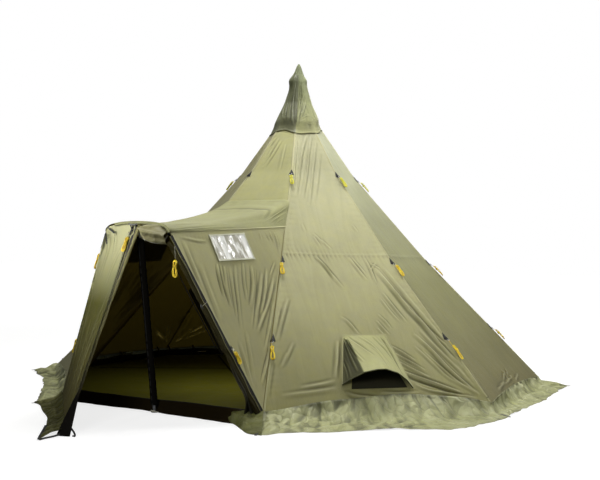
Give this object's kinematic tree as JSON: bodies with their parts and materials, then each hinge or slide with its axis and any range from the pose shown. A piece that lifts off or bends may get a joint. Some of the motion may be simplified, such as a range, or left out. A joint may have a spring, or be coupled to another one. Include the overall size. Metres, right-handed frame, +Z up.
{
  "type": "pole tent",
  "caption": "Many-sided pole tent with a rain cap, snow skirt, hooded vent and a front porch with one closed and one rolled door.",
  "frame": {"origin": "middle of the footprint's box on the ground", "axes": "+Z up; the porch points to -Y; the centre pole stands at x 0, y 0.576"},
  "size_m": [5.736, 6.888, 3.669],
  "materials": {
    "olive_cloth": "matt woven polyester-cotton",
    "olive_shade": "matt woven polyester-cotton",
    "skirt_cloth": "coated polyester, crinkled",
    "cap_cloth": "coated polyester, slight sheen",
    "clear_film": "clear film",
    "black_cloth": "matt coated fabric",
    "ground_cloth": "coated polyethylene fabric",
    "alloy": "satin anodised",
    "dark_rod": "satin black",
    "black_plastic": "moulded",
    "yellow_cord": "braided cord"
  },
  "bodies": {
    "tent": {"wall_porch_top": "olive_cloth", "wall_panel_2": "olive_cloth", "wall_panel_3": "olive_cloth", "wall_panel_4": "olive_cloth", "wall_panel_5": "olive_cloth", "wall_panel_6": "olive_cloth", "wall_panel_7": "olive_cloth", "wall_panel_8": "olive_cloth", "porch_wall_right": "olive_cloth", "porch_wall_left": "olive_cloth", "porch_roof": "olive_cloth", "door_right_rolled": "olive_shade", "vent_hood": "olive_shade", "skirt_2": "skirt_cloth", "skirt_3": "skirt_cloth", "skirt_4": "skirt_cloth", "skirt_5": "skirt_cloth", "skirt_6": "skirt_cloth", "skirt_7": "skirt_cloth", "skirt_8": "skirt_cloth", "skirt_porch_right": "skirt_cloth", "groundsheet": "ground_cloth", "porch_sill": "black_cloth", "porch_pole_sleeve": "black_cloth", "cap": "cap_cloth", "apex_crown": "black_plastic", "pole_foot": "black_plastic", "pole_clamp_lower": "black_plastic", "porch_pole_foot": "black_plastic", "pole_lower": "alloy", "window_right": "clear_film", "window_left": "clear_film", "porch_pole_lower": "dark_rod", "guyline_a_upper": "yellow_cord", "guyline_a_middle": "yellow_cord", "guyline_a_lower": "yellow_cord", "guyline_b_upper": "yellow_cord", "guyline_b_middle": "yellow_cord", "guyline_b_lower": "yellow_cord", "guyline_c_upper": "yellow_cord", "guyline_c_middle": "yellow_cord", "guyline_c_lower": "yellow_cord", "guyline_h_upper": "yellow_cord", "guyline_porch_left_upper": "yellow_cord", "guyline_porch_left_lower": "yellow_cord", "guyline_porch_right_lower": "yellow_cord", "guyline_porch_right_upper": "yellow_cord"},
    "door_leaf": {"door_left": "olive_cloth", "skirt_door_left": "skirt_cloth", "guyline_porch_centre": "yellow_cord"},
    "zip_slider": {"zip_slider": "black_plastic"},
    "vent_flap": {"vent_flap": "olive_cloth"},
    "pole_middle": {"pole_middle": "alloy", "pole_clamp_upper": "black_plastic"},
    "pole_upper": {"pole_upper": "alloy", "pole_spike": "alloy"},
    "lever_lower": {"pole_lever_lower": "black_plastic"},
    "lever_upper": {"pole_lever_upper": "black_plastic"},
    "porch_pole_upper": {"porch_pole_upper": "dark_rod", "porch_bow": "dark_rod"}
  },
  "joints": [
    {"name": "door_left_hinge", "type": "hinge", "parent": "tent", "child": "door_leaf", "pos_m": [-1.083, -2.03, 0.084], "axis": [-0.4444, 0.1994, -0.8734], "range_deg": [0, 125]},
    {"name": "zip_slide", "type": "slide", "parent": "door_leaf", "child": "zip_slider", "axis": [0, 0.4431, 0.8965], "range_m": [0, 1.6]},
    {"name": "vent_flap_hinge", "type": "hinge", "parent": "tent", "child": "vent_flap", "pos_m": [1.6329, -1.02154, 0.40683], "axis": [-0.7071, -0.7071, 0], "range_deg": [-40, 42]},
    {"name": "pole_middle_slide", "type": "slide", "parent": "tent", "child": "pole_middle", "axis": [0, 0, 1], "range_m": [-0.95, 0]},
    {"name": "pole_upper_slide", "type": "slide", "parent": "pole_middle", "child": "pole_upper", "axis": [0, 0, 1], "range_m": [-0.95, 0]},
    {"name": "lever_lower_hinge", "type": "hinge", "parent": "tent", "child": "lever_lower", "pos_m": [0.0345, 0.576, 1.153], "axis": [0, 0, -1], "range_deg": [0, 110]},
    {"name": "lever_upper_hinge", "type": "hinge", "parent": "pole_middle", "child": "lever_upper", "pos_m": [0.0325, 0.576, 2.173], "axis": [0, 0, -1], "range_deg": [0, 110]},
    {"name": "porch_pole_slide", "type": "slide", "parent": "tent", "child": "porch_pole_upper", "axis": [0, -0.1713, 0.9852], "range_m": [-0.05, 0]}
  ]
}
